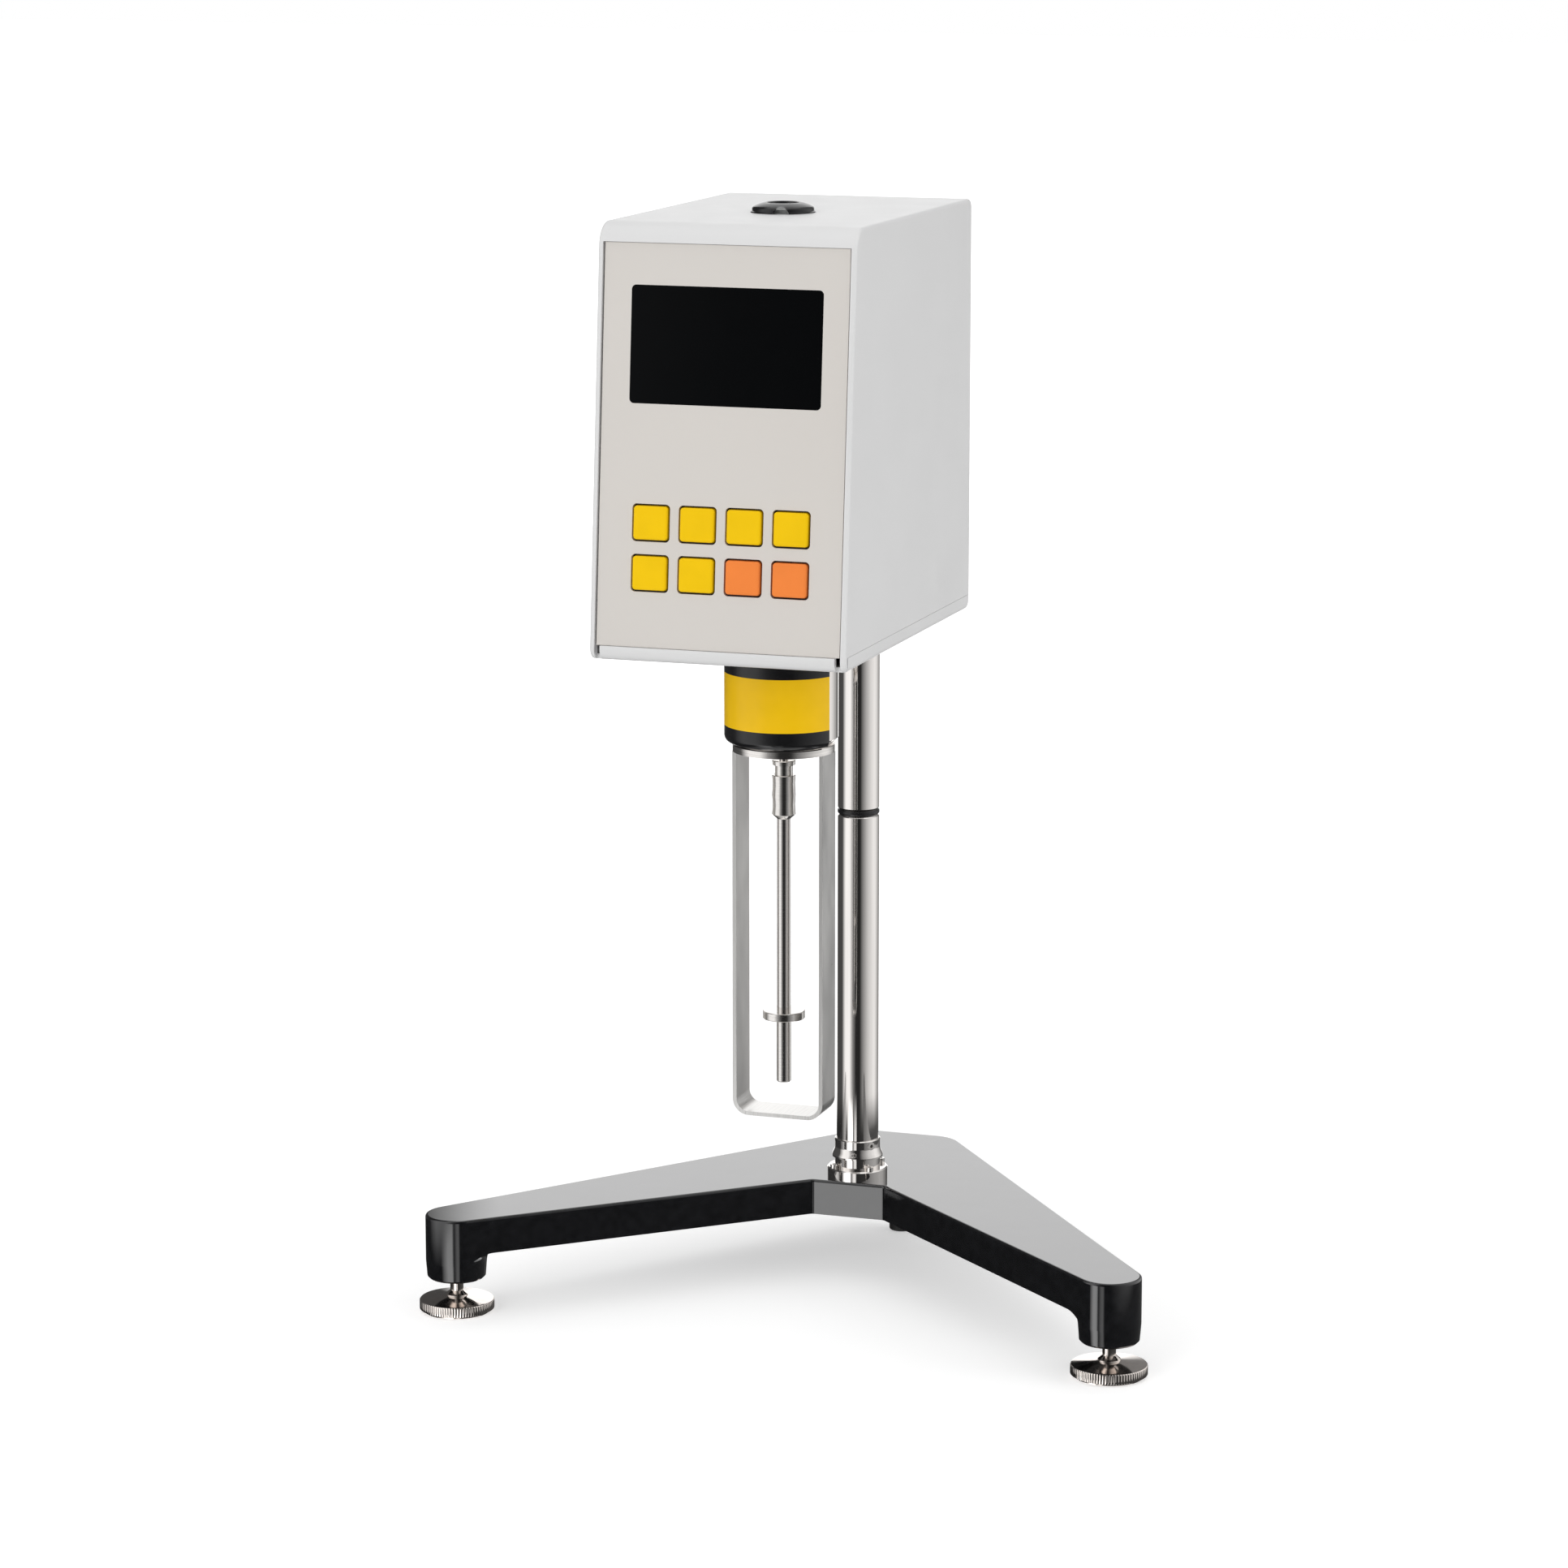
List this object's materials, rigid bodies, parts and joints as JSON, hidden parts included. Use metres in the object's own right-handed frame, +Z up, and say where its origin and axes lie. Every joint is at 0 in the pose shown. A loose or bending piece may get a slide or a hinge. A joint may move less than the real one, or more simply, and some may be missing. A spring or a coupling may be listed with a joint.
{
  "type": "digital rotational viscometer",
  "caption": "Bench viscometer: head with display and keys held by a clamp on a chrome column over a V-shaped base with levelling feet; disc spindle inside a U-shaped guard.",
  "frame": {"origin": "centre of the bounding box on the table", "axes": "+X to the right seen from the front, +Y to the back, +Z up"},
  "size_m": [0.3506, 0.2852, 0.5214],
  "materials": {
    "casting_black": "glossy black stoving enamel",
    "chrome": "polished",
    "foot_nickel": "bright nickel, knurled rim",
    "rubber_black": "matte",
    "steel": "fine turned or brushed",
    "cover_white": "satin off-white paint",
    "panel_grey": "satin warm grey paint",
    "key_yellow": "satin moulded",
    "key_orange": "satin moulded",
    "black_plastic": "fine grain",
    "display_black": "polished",
    "vial_clear": "clear over white",
    "sheet_steel": "zinc plated",
    "aluminium": "machined",
    "brass": "machined",
    "board_green": "solder mask"
  },
  "bodies": {
    "stand": {"base_casting": "casting_black", "rear_foot": "rubber_black", "column_flange": "chrome", "flange_screws": "steel", "column_set_screw": "steel", "lower_column": "chrome", "upper_column": "chrome", "column_spigot": "steel", "column_ring": "rubber_black", "column_cap": "black_plastic"},
    "left_leveller": {"left_foot": "foot_nickel"},
    "right_leveller": {"right_foot": "foot_nickel"},
    "head": {"head_cover": "cover_white", "bottom_tray": "cover_white", "front_panel": "panel_grey", "rear_panel": "cover_white", "display_lens": "display_black", "display_module": "black_plastic", "key_frame": "black_plastic", "keypad_board": "board_green", "level_bezel": "black_plastic", "level_vial": "vial_clear", "power_inlet": "black_plastic", "switch_frame": "black_plastic", "serial_port": "steel", "chassis_frame": "sheet_steel", "motor_plate": "aluminium", "standoffs": "steel", "drive_motor": "steel", "upper_bearing": "brass", "jewel_bearing": "brass", "optical_sensor": "black_plastic", "main_board": "board_green", "power_supply": "sheet_steel", "pivot_housing": "chrome", "collar_cover": "black_plastic", "collar_band": "key_yellow", "guard_ring": "steel", "guard_leg": "steel", "clamp_block": "aluminium", "clamp_screws": "steel", "clamp_key": "brass"},
    "knob": {"clamp_knob": "black_plastic"},
    "rocker": {"power_switch": "black_plastic"},
    "drum": {"drive_drum": "brass"},
    "pinion": {"motor_pinion": "brass"},
    "rotor": {"pivot_shaft": "steel", "deflection_vane": "aluminium", "torsion_spring": "brass", "coupling_nut": "steel", "spindle": "steel"},
    "key_cap_1": {"key_1": "key_yellow"},
    "key_cap_2": {"key_2": "key_yellow"},
    "key_cap_3": {"key_3": "key_yellow"},
    "key_cap_4": {"key_4": "key_yellow"},
    "key_cap_5": {"key_5": "key_yellow"},
    "key_cap_6": {"key_6": "key_yellow"},
    "key_cap_7": {"key_7": "key_orange"},
    "key_cap_8": {"key_8": "key_orange"}
  },
  "joints": [
    {"name": "head_lift", "type": "slide", "parent": "stand", "child": "head", "axis": [0, 0, 1], "range_m": [-0.1, 0.06]},
    {"name": "left_foot_screw", "type": "slide", "parent": "stand", "child": "left_leveller", "axis": [0, 0, 1], "range_m": [-0.006, 0]},
    {"name": "right_foot_screw", "type": "slide", "parent": "stand", "child": "right_leveller", "axis": [0, 0, 1], "range_m": [-0.006, 0]},
    {"name": "clamp_turn", "type": "hinge", "parent": "head", "child": "knob", "pos_m": [0, 0.09, 0.417], "axis": [0, 1, 0], "range_deg": [0, 180]},
    {"name": "switch_rock", "type": "hinge", "parent": "head", "child": "rocker", "pos_m": [-0.033, 0.0414, 0.386], "axis": [1, 0, 0], "range_deg": [0, 16]},
    {"name": "drum_spin", "type": "hinge", "parent": "head", "child": "drum", "pos_m": [0, -0.05, 0.367], "axis": [0, 0, 1], "continuous": true},
    {"name": "pinion_spin", "type": "hinge", "parent": "head", "child": "pinion", "pos_m": [0, -0.018, 0.367], "axis": [0, 0, 1], "continuous": true},
    {"name": "spindle_spin", "type": "hinge", "parent": "head", "child": "rotor", "pos_m": [0, -0.05, 0.2], "axis": [0, 0, 1], "continuous": true},
    {"name": "key_1_press", "type": "slide", "parent": "head", "child": "key_cap_1", "axis": [0, 0.9964, -0.0844], "range_m": [0, 0.0008], "stiffness_N_per_m": 500, "springref_m": -0.0004},
    {"name": "key_2_press", "type": "slide", "parent": "head", "child": "key_cap_2", "axis": [0, 0.9964, -0.0844], "range_m": [0, 0.0008], "stiffness_N_per_m": 500, "springref_m": -0.0004},
    {"name": "key_3_press", "type": "slide", "parent": "head", "child": "key_cap_3", "axis": [0, 0.9964, -0.0844], "range_m": [0, 0.0008], "stiffness_N_per_m": 500, "springref_m": -0.0004},
    {"name": "key_4_press", "type": "slide", "parent": "head", "child": "key_cap_4", "axis": [0, 0.9964, -0.0844], "range_m": [0, 0.0008], "stiffness_N_per_m": 500, "springref_m": -0.0004},
    {"name": "key_5_press", "type": "slide", "parent": "head", "child": "key_cap_5", "axis": [0, 0.9964, -0.0844], "range_m": [0, 0.0008], "stiffness_N_per_m": 500, "springref_m": -0.0004},
    {"name": "key_6_press", "type": "slide", "parent": "head", "child": "key_cap_6", "axis": [0, 0.9964, -0.0844], "range_m": [0, 0.0008], "stiffness_N_per_m": 500, "springref_m": -0.0004},
    {"name": "key_7_press", "type": "slide", "parent": "head", "child": "key_cap_7", "axis": [0, 0.9964, -0.0844], "range_m": [0, 0.0008], "stiffness_N_per_m": 500, "springref_m": -0.0004},
    {"name": "key_8_press", "type": "slide", "parent": "head", "child": "key_cap_8", "axis": [0, 0.9964, -0.0844], "range_m": [0, 0.0008], "stiffness_N_per_m": 500, "springref_m": -0.0004}
  ],
  "couplings": [
    {"joint": "pinion_spin", "follows": "drum_spin", "ratio": -3},
    {"joint": "spindle_spin", "follows": "drum_spin", "ratio": 1}
  ]
}
